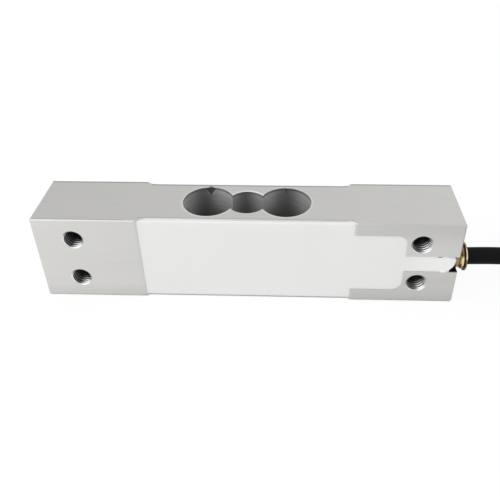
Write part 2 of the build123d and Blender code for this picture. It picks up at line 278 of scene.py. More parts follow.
# %% [markdown]
# ## Shared patterns
#
# The same patterns come back from finish to finish: a box, a ring or a ramp that says where on
# the part something happens, fine grain and slow mottling. Each could be built again in every
# material, but a node group is made once and placed with its own values. All of them read Object
# coordinates, which stay with the solid wherever it is seen from.

# %% Group helper
def new_group(name, inputs, outputs):
    """An empty node group with float, vector or colour sockets."""
    group = bpy.data.node_groups.new(name, "ShaderNodeTree")
    for label, kind, default in inputs:
        socket = group.interface.new_socket(label, in_out="INPUT", socket_type=f"NodeSocket{kind}")
        socket.default_value = default
    for label, kind in outputs:
        group.interface.new_socket(label, in_out="OUTPUT", socket_type=f"NodeSocket{kind}")
    given = group.nodes.new("NodeGroupInput").outputs
    result = group.nodes.new("NodeGroupOutput").inputs
    return group, given, result


print("group helper ready")

# %% Box zone
box_zone, given, result = new_group(
    "box_zone",
    [("Centre", "Vector", (0, 0, 0)), ("Half size", "Vector", (1, 1, 1))],
    [("Mask", "Float")],
)
offset = vector_maths(box_zone, "SUBTRACT", place_on_part(box_zone), given["Centre"])
offset = vector_maths(box_zone, "ABSOLUTE", offset)
room_x, room_y, room_z = parts(box_zone, vector_maths(box_zone, "SUBTRACT", given["Half size"], offset))
least_room = maths(box_zone, "MINIMUM", maths(box_zone, "MINIMUM", room_x, room_y), room_z)
box_zone.links.new(maths(box_zone, "GREATER_THAN", least_room, 0.0), result["Mask"])
print("pattern", box_zone.name)

# %% Ring zone
ring_zone, given, result = new_group(
    "ring_zone",
    [
        ("Centre", "Vector", (0, 0, 0)),
        ("Across", "Vector", (1, 1, 0)),
        ("Inner", "Float", 0.0),
        ("Outer", "Float", 1.0),
    ],
    [("Mask", "Float")],
)
offset = vector_maths(ring_zone, "SUBTRACT", place_on_part(ring_zone), given["Centre"])
distance = vector_maths(ring_zone, "LENGTH", vector_maths(ring_zone, "MULTIPLY", offset, given["Across"]))
past_inner = maths(ring_zone, "GREATER_THAN", distance, given["Inner"])
short_of_outer = maths(ring_zone, "LESS_THAN", distance, given["Outer"])
ring_zone.links.new(product(ring_zone, past_inner, short_of_outer), result["Mask"])
print("pattern", ring_zone.name)

# %% Ramp zone
ramp_zone, given, result = new_group(
    "ramp_zone",
    [
        ("Centre", "Vector", (0, 0, 0)),
        ("Along", "Vector", (1, 0, 0)),
        ("Near", "Float", 0.0),
        ("Far", "Float", 1.0),
    ],
    [("Share", "Float")],
)
offset = vector_maths(ramp_zone, "SUBTRACT", place_on_part(ramp_zone), given["Centre"])
distance = maths(ramp_zone, "ABSOLUTE", vector_maths(ramp_zone, "DOT_PRODUCT", offset, given["Along"]))
ramp_zone.links.new(smooth_step(ramp_zone, distance, given["Near"], given["Far"]), result["Share"])
print("pattern", ramp_zone.name)

# %% Grain and mottling
fine_grain, given, result = new_group(
    "fine_grain",
    [("Scale", "Float", 8.0), ("Stretch", "Vector", (1, 1, 1)), ("Detail", "Float", 3.0)],
    [("Value", "Float")],
)
stretched = vector_maths(fine_grain, "MULTIPLY", place_on_part(fine_grain), given["Stretch"])
noise = add_node(
    fine_grain, "ShaderNodeTexNoise", Vector=stretched, Scale=given["Scale"], Detail=given["Detail"]
)
fine_grain.links.new(noise.outputs[0], result["Value"])

mottle, given, result = new_group(
    "mottle",
    [("Colour", "Color", (0.5, 0.5, 0.5, 1)), ("Scale", "Float", 0.1), ("Amount", "Float", 0.05)],
    [("Colour", "Color")],
)
noise = add_node(mottle, "ShaderNodeTexNoise", Vector=place_on_part(mottle), Scale=given["Scale"], Detail=2.0)
swing = product(mottle, maths(mottle, "SUBTRACT", noise.outputs[0], 0.5), given["Amount"])
gain = maths(mottle, "ADD", swing, 1.0)
mottled = add_node(mottle, "ShaderNodeVectorMath", {"operation": "SCALE"}, i0=given["Colour"], Scale=gain)
mottle.links.new(mottled.outputs["Vector"], result["Colour"])
print("patterns:", fine_grain.name, mottle.name)


# %% Finish helpers
along_x = (1, 0, 0)
along_z = (0, 0, 1)


def use(tree, group, **inputs):
    """A shared pattern placed in a material; returns its outputs."""
    node = tree.nodes.new("ShaderNodeGroup")
    node.node_tree = group
    for name, value in inputs.items():
        set_socket(tree, node.inputs[name.replace("_", " ")], value)
    return node.outputs


def in_box(tree, centre, half_size):
    return use(tree, box_zone, Centre=centre, Half_size=half_size)[0]


def in_ring(tree, centre, inner, outer, across=(1, 1, 0)):
    return use(tree, ring_zone, Centre=centre, Across=across, Inner=inner, Outer=outer)[0]


def ramp(tree, centre, along, near, far):
    """0 up to a near distance from a plane, rising to 1 at a far one."""
    return use(tree, ramp_zone, Centre=centre, Along=along, Near=near, Far=far)[0]


def grain(tree, scale, stretch=(1, 1, 1), detail=3.0):
    return use(tree, fine_grain, Scale=scale, Stretch=stretch, Detail=detail)[0]


def mottling(tree, colour, scale, amount):
    return use(tree, mottle, Colour=colour, Scale=scale, Amount=amount)[0]


def new_finish(name, **settings):
    """A material with a Principled shader whose plain sockets are set."""
    material = bpy.data.materials.new(name)
    material.use_nodes = True
    shader = material.node_tree.nodes["Principled BSDF"]
    for label, value in settings.items():
        shader.inputs[label.replace("_", " ")].default_value = value
    return material, material.node_tree, shader


def raise_surface(tree, shader, height, distance):
    """A bump of that many millimetres."""
    bump = add_node(tree, "ShaderNodeBump", Height=height, Distance=distance * mm)
    tree.links.new(bump.outputs[0], shader.inputs["Normal"])


def dress(finish, *names):
    """Gives the solids that finish."""
    for name in names:
        data = nodes[name].data
        data.materials.clear()
        data.materials.append(finish)


print("finish helpers ready")

# %% [markdown]
# ## Aluminium
#
# The beam is milled, then blasted and clear anodised, which leaves an even, slightly warm grey
# with hardly any gloss. Each region could be a material of its own on its own faces, but the real
# beam is one piece with one skin, so it has one material with zones. First comes the milled
# outside: long streaks and a paler pad at the cable's end. Then painted shade darkens it towards
# the floor and in a thin line along the top edges, most along the rear.

# %% Milled outside
aluminium, tree, shader = new_finish("aluminium", Roughness=0.42, Metallic=0.75)
top_z = beam_width
clear_of_edges = mid_width - 0.25
streaks = grain(tree, 0.7, stretch=(0.06, 1.6, 1.6), detail=4.0)
milled = mix_colour(tree, streaks, (0.585, 0.58, 0.563, 1), (0.635, 0.628, 0.613, 1))
outside = mottling(tree, milled, 0.05, 0.06)

cable_end_pad = in_box(tree, (screw_x, -half_thick, mid_width), (25, 0.2, clear_of_edges))
towards_cable = ramp(tree, (36, 0, 0), along_x, 0.0, 18.0)
off_band = ramp(tree, (0, 0, 19), along_z, 1.0, 10.0)
paler = product(tree, cable_end_pad, towards_cable, rest_of(tree, off_band))
outside = mix_colour(tree, paler, outside, (0.69, 0.683, 0.668, 1))
# Painted shade: the skin darkens towards the floor.
clear_of_floor_shade = ramp(tree, (0, 0, 0), along_z, 0.0, 6.0)
outside = mix_colour(tree, clear_of_floor_shade, (0.55, 0.545, 0.53, 1), outside)

# Painted shade: thin dark lines along the top edges, darkest along the rear.
rear_edge_shade = in_box(tree, (0, half_thick - 0.15, top_z), (half_length + 1, 0.75, 0.4))
rear_waist_shade = in_box(tree, (0, waist_y - 0.15, top_z), (31.5, 0.75, 0.4))
outside = mix_colour(tree, largest(tree, rear_edge_shade, rear_waist_shade), outside, (0.34, 0.335, 0.325, 1))
front_edge_shade = in_box(tree, (-50.5, 0.55 - half_thick, top_z), (14.3, 0.25, 0.2))
front_waist_shade = in_box(tree, (0, 0.55 - waist_y, top_z), (32.5, 0.25, 0.2))
outside = mix_colour(tree, largest(tree, front_edge_shade, front_waist_shade), outside, (0.5, 0.495, 0.48, 1))
print("milled outside ready")

# %% [markdown]
# ### Bored eyes
#
# The eyes look darker than the outside, because in them the metal sees only itself and the rough
# turning marks. Path tracing alone leaves them too even, so their light and shade are painted:
# each hole has painted shade in a dark line down its rear wall, deeper in and just under the rim,
# and painted light on its flanks that fades with depth, crossed by the rings that the boring tool
# left.

# %% Bored eyes
eyes = in_box(tree, (0, 0, mid_width), (eye_x + eye_radius + 0.35, eye_radius + 0.35, clear_of_edges))
# Painted light on the flanks of each hole, away from a painted dark line of shade.
flank_light = 0.0
for wall_x, zone_width, shade_x, reach, gain in (
    (-12.85, 8.0, -14.4, 6.4, 0.93),
    (0, 4.85, -0.8, 4.8, 0.64),
    (12.85, 8.0, 12.2, 7.0, 0.85),
):
    off_shade_line = ramp(tree, (shade_x, 0, 0), along_x, 0.0, reach)
    own_hole = in_box(tree, (wall_x, 0, mid_width), (zone_width, 9, 16))
    flank_light = largest(tree, flank_light, product(tree, off_shade_line, own_hole, gain))
# Painted shade deeper in the eyes.
deep = ramp(tree, (0, 0, top_z), along_z, 5.0, 13.0)
rings = grain(tree, 1.1, stretch=(0.06, 0.06, 3.0))
lit = product(tree, flank_light, rest_of(tree, deep), maths(tree, "ADD", 0.55, rings))
bored = mix_colour(tree, deep, (0.325, 0.325, 0.325, 1), (0.262, 0.262, 0.262, 1))
bored = mix_colour(tree, lit, bored, (0.98, 0.98, 0.99, 1))
# Painted shade just under the rim.
rim_shade = in_box(tree, (0, 4.5, top_z - 0.6), (21, 5.5, 0.28))
bored = mix_colour(tree, product(tree, rim_shade, 0.6), bored, (0.1, 0.1, 0.1, 1))
skin = mix_colour(tree, eyes, outside, bored)
print("bored eyes ready")

# %% [markdown]
# ### File marks
#
# The corners of a cell are balanced by filing a notch in the rear rim of each eye. The notches
# are in the solid. Each notch is painted dark, as painted shade in the cut. The cut runs out to a
# point, so the pattern is a wedge: it stands on its tip, widens upwards and goes only as deep as
# the cut.

# %% File marks
file_mark, given, result = new_group(
    "file_mark",
    [("Tip", "Vector", (0, 0, 0)), ("Slope", "Float", 0.5), ("Bite", "Float", 1.0)],
    [("Mask", "Float")],
)
offset = vector_maths(file_mark, "SUBTRACT", place_on_part(file_mark), given["Tip"])
aside, behind, above = parts(file_mark, offset)
half_width = product(file_mark, above, given["Slope"])
inside = maths(file_mark, "LESS_THAN", maths(file_mark, "ABSOLUTE", aside), half_width)
past_face = maths(file_mark, "GREATER_THAN", behind, 0.0)
before_end = maths(file_mark, "LESS_THAN", behind, given["Bite"])
file_mark.links.new(product(file_mark, inside, past_face, before_end), result["Mask"])

# Painted shade: each notch is painted dark.
for mark_x, tip_z, slope, bite in ((-12.1, 26.9, 0.58, 1.62), (12.1, 28.0, 0.42, 1.3)):
    mark = use(tree, file_mark, Tip=(mark_x, eye_radius - 1, tip_z), Slope=slope, Bite=bite)[0]
    below_rim = in_box(tree, (mark_x, eye_radius, 28), (3, 2, 1.7))
    skin = mix_colour(tree, product(tree, mark, below_rim), skin, (0.1, 0.1, 0.1, 1))

# Painted highlight: the rim chamfer of each eye is painted lighter.
rims = 0.0
for hole_x, hole_radius in ((-eye_x, eye_radius), (0, link_radius), (eye_x, eye_radius)):
    rims = largest(tree, rims, in_ring(tree, (hole_x, 0, 0), hole_radius + 0.01, hole_radius + 0.45))
near_top = in_box(tree, (0, 0, top_z), (21, 9, 0.31))
eye_rims = product(tree, rims, near_top)
skin = mix_colour(tree, eye_rims, skin, (0.74, 0.735, 0.72, 1))
print("two file marks and three rims ready")

# %% [markdown]
# ### Tapped holes
#
# A tapped hole is bright on the side that faces the light, for the first few turns, and black
# further in, and its countersink is a pale ring. Lamps could do this alone, but the holes are so
# small that a little light from the floor washes them out, so this light and shade are painted.
# This pattern finds the nearest of the four holes from the signs of X and Z, so one group serves
# all four holes and their threads.

# %% Tapped holes: the place in the nearest hole
tapped_hole, _, result = new_group("tapped_hole", [], [("Level", "Float"), ("Mask", "Float")])
x, y, z = parts(tapped_hole, place_on_part(tapped_hole))
end = maths(tapped_hole, "SIGN", x)
across = maths(tapped_hole, "SUBTRACT", x, product(tapped_hole, end, screw_x))
above = maths(tapped_hole, "SUBTRACT", z, mid_width)
row = maths(tapped_hole, "SIGN", above)
up = maths(tapped_hole, "SUBTRACT", above, product(tapped_hole, row, screw_rise))
from_axis = add_node(tapped_hole, "ShaderNodeCombineXYZ", i0=across, i1=0.0, i2=up).outputs[0]
distance = vector_maths(tapped_hole, "LENGTH", from_axis)
depth = maths(tapped_hole, "SUBTRACT", half_thick, maths(tapped_hole, "ABSOLUTE", y))
in_hole = maths(tapped_hole, "LESS_THAN", distance, screw_radius + screw_sink + 0.01)
tapped_hole.links.new(in_hole, result["Mask"])
print("holes at", screw_x, "mm along and", screw_rise, "mm up and down")

# %% Tapped holes: the painted light and shade
to_light = (0.84, 0, -0.54)
turned_to_light = vector_maths(tapped_hole, "DOT_PRODUCT", from_axis, to_light)
facing = smooth_step(tapped_hole, turned_to_light, 0.4, 2.7)
shallow = smooth_step(tapped_hole, depth, 0.5, 4.5, 1.0, 0.0)
crest = maths(tapped_hole, "LESS_THAN", distance, 2.74)
facing_shine = product(tapped_hole, facing, maths(tapped_hole, "MULTIPLY_ADD", crest, 0.7, 0.1))
shine = maths(tapped_hole, "ADD", facing_shine, maths(tapped_hole, "MULTIPLY_ADD", crest, 0.15, 0.02))
wall_level = maths(tapped_hole, "MULTIPLY_ADD", shine, shallow, 0.015)

in_cone = maths(tapped_hole, "LESS_THAN", depth, screw_sink + 0.06)
outward = product(tapped_hole, across, end, 0.4)
open_side = smooth_step(tapped_hole, maths(tapped_hole, "SUBTRACT", outward, up), -2.5, 0.7, 0.08, 1.0)
cone_level = product(tapped_hole, maths(tapped_hole, "MULTIPLY_ADD", turned_to_light, -0.03, 0.7), open_side)
tapped_hole.links.new(mix_value(tapped_hole, in_cone, wall_level, cone_level), result["Level"])
print("pattern", tapped_hole.name)

# %% [markdown]
# ### One skin
#
# The last cell of the aluminium lays the tapped holes, with their painted light and shade, over
# the rest and paints shade into the channel behind the ferrule. It also warms the edge beside the
# ferrule with a painted reflection, where the brass throws its colour. Light that bounces could do
# that alone, but in a studio this soft it came out too faint.
# Blasted metal has a fine even grain and bored walls have rings, so one bump is mixed from both.

# %% Aluminium put together
hole_level, hole_walls = use(tree, tapped_hole)
skin = mix_colour(tree, hole_walls, skin, hole_level)
rough = mix_value(tree, eye_rims, 0.42, 0.65)
tree.links.new(mix_value(tree, hole_walls, rough, 0.33), shader.inputs["Roughness"])
tree.links.new(mix_value(tree, hole_walls, 0.75, 1.0), shader.inputs["Metallic"])

brass_glow = in_box(tree, (half_length - 0.05, -10.7, 20), (0.45, 0.6, 3.2))
skin = mix_colour(tree, brass_glow, skin, (0.7, 0.63, 0.52, 1))
# Painted shade: the channel behind the ferrule is near black.
channel = in_box(tree, (half_length - 2, -7, mid_width), (1.98, 3.7, 3.02))
skin = mix_colour(tree, channel, skin, (0.015, 0.013, 0.012, 1))
tree.links.new(skin, shader.inputs["Base Color"])

blasted = grain(tree, 9.0, detail=2.0)
turned = grain(tree, 0.9, stretch=(0.25, 0.25, 4.0), detail=4.0)
raise_surface(tree, shader, mix_value(tree, eyes, blasted, turned), 0.02)
dress(aluminium, "spring_body")
print("finish", aluminium.name, "with", len(tree.nodes), "nodes")

# %% [markdown]
# ## Silicone
#
# The sealant is white, self-levelling silicone. It cures smooth and satin, with very slight
# waves where it was wiped off level. A coat or subsurface light would look wet or waxy at this
# size, so plain roughness and a long soft bump do it. In the channel it is painted a little
# whiter towards the cable, a painted sheen. A small slit beside the upper wall shows where the
# bead pulled away, and the shade in it is painted dark.

# %% Silicone finish
silicone, tree, shader = new_finish("silicone", Roughness=0.6, IOR=1.41)
tint = mottling(tree, (0.8, 0.8, 0.79, 1), 0.06, 0.03)
# Painted sheen: the sealant is whiter in the channel towards the cable.
channel_sheen = in_box(tree, (56, -half_thick, mid_width), (9.5, 1, 3.1))
cableward = ramp(tree, (46.5, 0, 0), along_x, 0.0, 14.0)
tint = mix_colour(tree, product(tree, channel_sheen, cableward), tint, (0.86, 0.86, 0.85, 1))
# Painted shade in the slit.
slit_shade = in_ring(tree, (59.05, 0, 17.85), 0.0, 1.0, across=(1.05, 0, 2.6))
tree.links.new(mix_colour(tree, slit_shade, tint, (0.06, 0.06, 0.06, 1)), shader.inputs["Base Color"])
raise_surface(tree, shader, grain(tree, 0.22, detail=1.0), 0.12)
dress(silicone, "front_sealant", "rear_sealant")
print("finish", silicone.name)

# %% [markdown]
# ### Smear
#
# When the silicone was wiped level, a little of it was left over the lower edge of the channel.
# It could be painted on the aluminium, but a smear has its own thin rounded edge, so it is a
# flattened ball that is sunk into the sealant. A new piece always ends in the same way: its mesh
# becomes an object at the origin, which rides on the body.

# %% New pieces
def new_piece(name, mesh, finish, smooth=True):
    """An object for a finished bmesh, with its finish, that rides on the part's body."""
    data = bpy.data.meshes.new(name)
    mesh.to_mesh(data)
    mesh.free()
    if smooth:
        data.shade_smooth()
    data.materials.append(finish)
    piece = bpy.data.objects.new(name, data)
    bpy.context.scene.collection.objects.link(piece)
    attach(piece, "root")
    print(name, "of", len(data.polygons), "faces")
    return piece


print("piece helper ready")

# %% Smear of silicone
smear_half_size = Vector((1.15, 0.34, 0.5)) * mm
smear_place = Vector((60.6, -10.74, 12.18)) * mm
smear_mesh = bmesh.new()
bmesh.ops.create_uvsphere(smear_mesh, u_segments=24, v_segments=12, radius=1.0)
bmesh.ops.scale(smear_mesh, verts=smear_mesh.verts[:], vec=smear_half_size)
bmesh.ops.translate(smear_mesh, verts=smear_mesh.verts[:], vec=smear_place)
new_piece("sealant_smear", smear_mesh, silicone)

# %% [markdown]
# ## Brass ferrule
#
# The ferrule is turned brass with a bead and a flared rim. On something this small the eye sees
# only a few bands: a bright spot on the bead, a bright arc on the rim and dark lines between.
# Reflections of a real room would draw them, and this studio is plain, so they are painted: each
# turned band has a painted dark reflection away from one height, the creases have painted shade,
# and the neck in the mouth of the channel is painted darker as shade.

# %% Brass finish
brass, tree, shader = new_finish("ferrule_brass", Roughness=0.3, Metallic=1.0)
metal = mix_colour(tree, grain(tree, 0.9, detail=4.0), (0.95, 0.76, 0.4, 1), (1.0, 0.9, 0.6, 1))
# Painted reflection: each turned band is dark away from the height of its bright spot.
for band_x, half_width, bright_z, near, far, tone in (
    (65.9, 0.7, 15.6, 1.1, 1.9, (0.26, 0.19, 0.1, 1)),
    (67.3, 0.35, 18.0, 0.8, 1.6, (0.25, 0.18, 0.1, 1)),
):
    band = in_box(tree, (band_x, cable_y, cable_z), (half_width, 5, 5))
    off_bright = ramp(tree, (0, 0, bright_z), along_z, near, far)
    metal = mix_colour(tree, product(tree, off_bright, band), metal, tone)
# Painted shade on the neck in the mouth of the channel.
neck_shade = in_box(tree, (64.2, cable_y, cable_z), (1.0, 5, 5))
metal = mix_colour(tree, neck_shade, metal, (0.4, 0.31, 0.17, 1))
# Painted shade in the creases.
for crease_x, half_width in ((65.36, 0.12), (66.76, 0.18)):
    off_crease = ramp(tree, (crease_x, 0, 0), along_x, half_width, half_width + 0.1)
    metal = mix_colour(tree, rest_of(tree, off_crease), metal, (0.06, 0.038, 0.02, 1))
tree.links.new(metal, shader.inputs["Base Color"])
raise_surface(tree, shader, grain(tree, 1.5, stretch=(6, 1, 1)), 0.01)
dress(brass, "cable_ferrule")
print("finish", brass.name)

# %% [markdown]
# ### Adhesive round the neck
#
# Amber adhesive is squeezed out between the neck of the ferrule and the end of the beam. It lies
# there as a thin round bead. A torus could come from the editor's add menu, but a small circle
# that is spun round the axis of the cable gives the same and says where it sits.

# %% Adhesive ring
glue, tree, shader = new_finish("amber_adhesive", Roughness=0.3, Metallic=0.5)
tree.links.new(mottling(tree, (0.36, 0.26, 0.13, 1), 0.9, 0.9), shader.inputs["Base Color"])
ring_x = half_length - 0.15
ring_radius = 3.05
ring_thick = 0.55
glue_mesh = bmesh.new()
section_place = Vector((ring_x, cable_y, cable_z + ring_radius)) * mm
bmesh.ops.create_circle(
    glue_mesh,
    segments=12,
    radius=ring_thick * mm,
    matrix=Matrix.Translation(section_place) @ Matrix.Rotation(pi / 2, 4, "X"),
)
bmesh.ops.spin(
    glue_mesh,
    geom=glue_mesh.verts[:] + glue_mesh.edges[:],
    cent=(ring_x * mm, cable_y * mm, cable_z * mm),
    axis=(1, 0, 0),
    angle=2 * pi,
    steps=48,
    use_merge=True,
)
bmesh.ops.remove_doubles(glue_mesh, verts=glue_mesh.verts[:], dist=1e-7)
bmesh.ops.recalc_face_normals(glue_mesh, faces=glue_mesh.faces[:])
new_piece("ferrule_adhesive", glue_mesh, glue)

# %% [markdown]
# ## Jacket and wiring
#
# The jacket of the cable is black and satin, so it takes a very dark colour with a low specular
# level: at the default level a white studio turns black plastic grey. The four cores have
# coloured insulation, and their stripped ends show bare tinned wire past the cut. Each end could
# be a piece of its own, but the core is one solid, so its material has a mask at the cut.

# %% Jacket finish
jacket, tree, shader = new_finish("cable_jacket", Roughness=0.6, Specular_IOR_Level=0.07)
tree.links.new(mottling(tree, (0.006, 0.006, 0.0065, 1), 0.2, 0.3), shader.inputs["Base Color"])
raise_surface(tree, shader, grain(tree, 3.0), 0.02)
cable_curve.materials.append(jacket)
print("finish", jacket.name)

# %% Core finishes
tail_end = (122, 12.5, 0)
tail_way = (-0.979, -0.204, 0)
insulated_length = 18.2
core_colours = {
    "red": (0.5, 0.02, 0.02, 1),
    "black": (0.012, 0.012, 0.012, 1),
    "green": (0.02, 0.28, 0.07, 1),
    "white": (0.78, 0.78, 0.76, 1),
}
for colour, tone in core_colours.items():
    core, tree, shader = new_finish(f"core_{colour}", Roughness=0.38)
    far_fan = in_box(tree, (108, 8, 1), (18, 20, 4))
    past_cut = ramp(tree, tail_end, tail_way, insulated_length, insulated_length + 0.1)
    bare = product(tree, far_fan, past_cut)
    insulation = mottling(tree, tone, 0.5, 0.12)
    tree.links.new(mix_colour(tree, bare, insulation, (0.72, 0.7, 0.68, 1)), shader.inputs["Base Color"])
    tree.links.new(bare, shader.inputs["Metallic"])
    dress(core, f"core_inner_{colour}", f"core_far_{colour}")

drain, tree, shader = new_finish("core_shield", Roughness=0.35, Metallic=1.0)
tree.links.new(mottling(tree, (0.6, 0.59, 0.57, 1), 2.0, 0.3), shader.inputs["Base Color"])
raise_surface(tree, shader, grain(tree, 1.2, stretch=(1, 4, 4)), 0.1)
dress(drain, "core_inner_shield", "core_far_shield")
print(len(core_colours), "cores and the drain wire dressed")

# %% [markdown]
# ### Gauges, board and resistors
#
# The silicone hides these, but whoever takes the part to pieces sees them. A gauge is a grid of
# metal foil on an amber film, and the board is glass epoxy with a green mask. The resistors are
# dark glazed blocks with tinned ends. Film and foil are one solid, because nobody parts them, so
# the height over the beam tells the two apart, and a box does the same for a resistor's body.

# %% Gauge and lead finishes
foil, tree, shader = new_finish("gauge_foil", Roughness=0.3)
film = in_box(tree, (0, 0, mid_width), (40, 9.82, 20))
amber = mottling(tree, (0.55, 0.26, 0.04, 1), 0.3, 0.15)
tree.links.new(mix_colour(tree, film, (0.5, 0.42, 0.36, 1), amber), shader.inputs["Base Color"])
tree.links.new(rest_of(tree, film), shader.inputs["Metallic"])
lead, tree, shader = new_finish("lead_ribbon", Roughness=0.35)
tree.links.new(mottling(tree, (0.45, 0.12, 0.05, 1), 0.8, 0.2), shader.inputs["Base Color"])
gauge_places = ("front_left", "front_right", "rear_left", "rear_right")
for place in gauge_places:
    dress(foil, f"strain_gauge_{place}")
    dress(lead, f"gauge_lead_{place}")
print(len(gauge_places), "gauges and their leads dressed")

# %% Board and resistor finishes
board, tree, shader = new_finish("board", Roughness=0.45)
tree.links.new(mottling(tree, (0.015, 0.14, 0.06, 1), 0.6, 0.2), shader.inputs["Base Color"])
raise_surface(tree, shader, grain(tree, 2.5), 0.03)
dress(board, "terminal_board")

chip, tree, shader = new_finish("chip", Roughness=0.3)
glaze = mottling(tree, (0.02, 0.02, 0.022, 1), 1.0, 0.2)
low_body, high_body = (in_box(tree, (40, -4, chip_z), (4, 4, 1.1)) for chip_z in (10.5, 19.5))
glazed = largest(tree, low_body, high_body)
tree.links.new(mix_colour(tree, glazed, (0.7, 0.7, 0.7, 1), glaze), shader.inputs["Base Color"])
dress(chip, "zero_resistor", "span_resistor")
print("board and resistors dressed")

# %% [markdown]
# ## Screw threads
#
# The solids have plain holes at the thread's outer diameter. A real M6 thread is a helical ridge
# with a 60 degree flank. It could be a bump, but a bump has no outline, and here the ridges are
# seen against the light. So one small closed profile is spun round the hole's axis and moved on
# by a pitch each turn, which is what a tap does. Both ends are then cut level, and the turns in
# the countersink are pushed out to its cone.

# %% Thread finish
tapped, tree, shader = new_finish("tapped_aluminium", Roughness=0.3, Metallic=1.0)
# The threads take the tapped holes' painted light and shade as their colour.
tree.links.new(use(tree, tapped_hole)["Level"], shader.inputs["Base Color"])
raise_surface(tree, shader, grain(tree, 2.0, stretch=(1, 4, 1)), 0.01)

thread_pitch = 1.0
thread_outer = screw_radius + 0.03
thread_inner = 2.62
mouth_radius = 3.15
thread_depth = 2 * half_thick - 2 * screw_sink
half_root = 0.46 * thread_pitch
half_crest = 0.09 * thread_pitch
steps_per_turn = 28
print("thread of", thread_pitch, "mm pitch,", round(thread_depth, 2), "mm deep")


# %% Threads
def thread_ridge(name, hole_x, hole_z):
    """One helical ridge through the beam, trimmed level at both mouths."""
    turns = int(thread_depth / thread_pitch) + 2
    start_y = -(turns / 2) * thread_pitch
    ridge = bmesh.new()
    outline = [
        (thread_outer, -half_root),
        (thread_inner, -half_crest),
        (thread_inner, half_crest),
        (thread_outer, half_root),
    ]
    for radius, along in outline:
        ridge.verts.new(Vector((hole_x + radius, start_y + along, hole_z)) * mm)
    profile = ridge.faces.new(ridge.verts[:])
    bmesh.ops.spin(
        ridge,
        geom=[profile] + profile.edges[:] + profile.verts[:],
        cent=(hole_x * mm, 0, hole_z * mm),
        axis=(0, 1, 0),
        dvec=(0, thread_pitch / steps_per_turn * mm, 0),
        angle=2 * pi * turns,
        steps=turns * steps_per_turn,
        use_duplicate=False,
    )
    for side in (-1, 1):
        bmesh.ops.bisect_plane(
            ridge,
            geom=ridge.verts[:] + ridge.edges[:] + ridge.faces[:],
            dist=1e-7,
            plane_co=(0, side * thread_depth / 2 * mm, 0),
            plane_no=(0, side, 0),
            clear_outer=True,
        )
        bmesh.ops.holes_fill(ridge, edges=[edge for edge in ridge.edges if edge.is_boundary], sides=0)
    for vert in ridge.verts:
        depth = half_thick - abs(vert.co.y) / mm
        across = vert.co - Vector((hole_x * mm, vert.co.y, hole_z * mm))
        cone_radius = min(thread_outer, mouth_radius - depth) * mm
        if across.length < cone_radius:
            vert.co += across.normalized() * (cone_radius - across.length)
    bmesh.ops.remove_doubles(ridge, verts=ridge.verts[:], dist=1e-7)
    bmesh.ops.recalc_face_normals(ridge, faces=ridge.faces[:])
    piece = new_piece(name, ridge, tapped)
    piece.data.set_sharp_from_angle(angle=radians(25))


for end_name, hole_x in (("free_end", -screw_x), ("cable_end", screw_x)):
    for row_name, hole_z in (("lower", mid_width - screw_rise), ("upper", mid_width + screw_rise)):
        thread_ridge(f"thread_{end_name}_{row_name}", hole_x, hole_z)
print("threads cut at", screw_x, "mm to both sides")

# %% [markdown]
# ## Cable tie
#
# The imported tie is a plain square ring. A real one is a thin nylon strap that hugs the two
# strands, so its outline is a slot shape: two half circles round the strands and two straight
# runs between. That outline could be worked out point by point, but it is plainer to make as it
# is bent: its section is spun half round one strand, drawn along to the other, spun half round
# that and drawn back. The strands' heights are the cable's own where it passes the tie. The
# toothed tail comes out of the ratchet head and is cut short.

# %% Tie finish and sizes
nylon, tree, shader = new_finish("tie_nylon", Roughness=0.4)
tree.links.new(mottling(tree, (0.7, 0.7, 0.66, 1), 0.5, 0.08), shader.inputs["Base Color"])
raise_surface(tree, shader, grain(tree, 2.0), 0.03)

tie_width, tie_thick = 2.5, 0.5
strand_low = Vector((tie_x, low_y, 3.22))
strand_high = Vector((tie_x, cable_y, 7.9))
hug = cable_diameter / 2 + 0.02
head_z = strand_high.z + hug + tie_thick
print("tie", tie_width, "mm wide, its head", round(head_z + 2.8, 1), "mm high")

# %% Strap
tie_mesh = bmesh.new()
between = strand_high - strand_low
sideways = Vector((0, between.z, -between.y)).normalized()
corners = [(-tie_width / 2, hug), (-tie_width / 2, hug + tie_thick)]
corners += [(tie_width / 2, hug + tie_thick), (tie_width / 2, hug)]
for aside, away in corners:
    tie_mesh.verts.new((strand_low + Vector((aside, 0, 0)) + sideways * away) * mm)
section = tie_mesh.verts[:]
for first, second in zip(section, section[1:] + section[:1]):
    tie_mesh.edges.new((first, second))
end = tie_mesh.verts[:] + tie_mesh.edges[:]
for strand, onward in ((strand_low, between), (strand_high, -between)):
    half_turn = bmesh.ops.spin(tie_mesh, geom=end, cent=strand * mm, axis=(1, 0, 0), angle=-pi, steps=18)
    edges = [item for item in half_turn["geom_last"] if isinstance(item, bmesh.types.BMEdge)]
    drawn = bmesh.ops.extrude_edge_only(tie_mesh, edges=edges)["geom"]
    moved = [item for item in drawn if isinstance(item, bmesh.types.BMVert)]
    bmesh.ops.translate(tie_mesh, verts=moved, vec=onward * mm)
    drawn_edges = [item for item in drawn if isinstance(item, bmesh.types.BMEdge)]
    end = moved + [edge for edge in drawn_edges if set(edge.verts) <= set(moved)]
bmesh.ops.remove_doubles(tie_mesh, verts=tie_mesh.verts[:], dist=1e-6)
print("strap of", len(tie_mesh.faces), "faces")


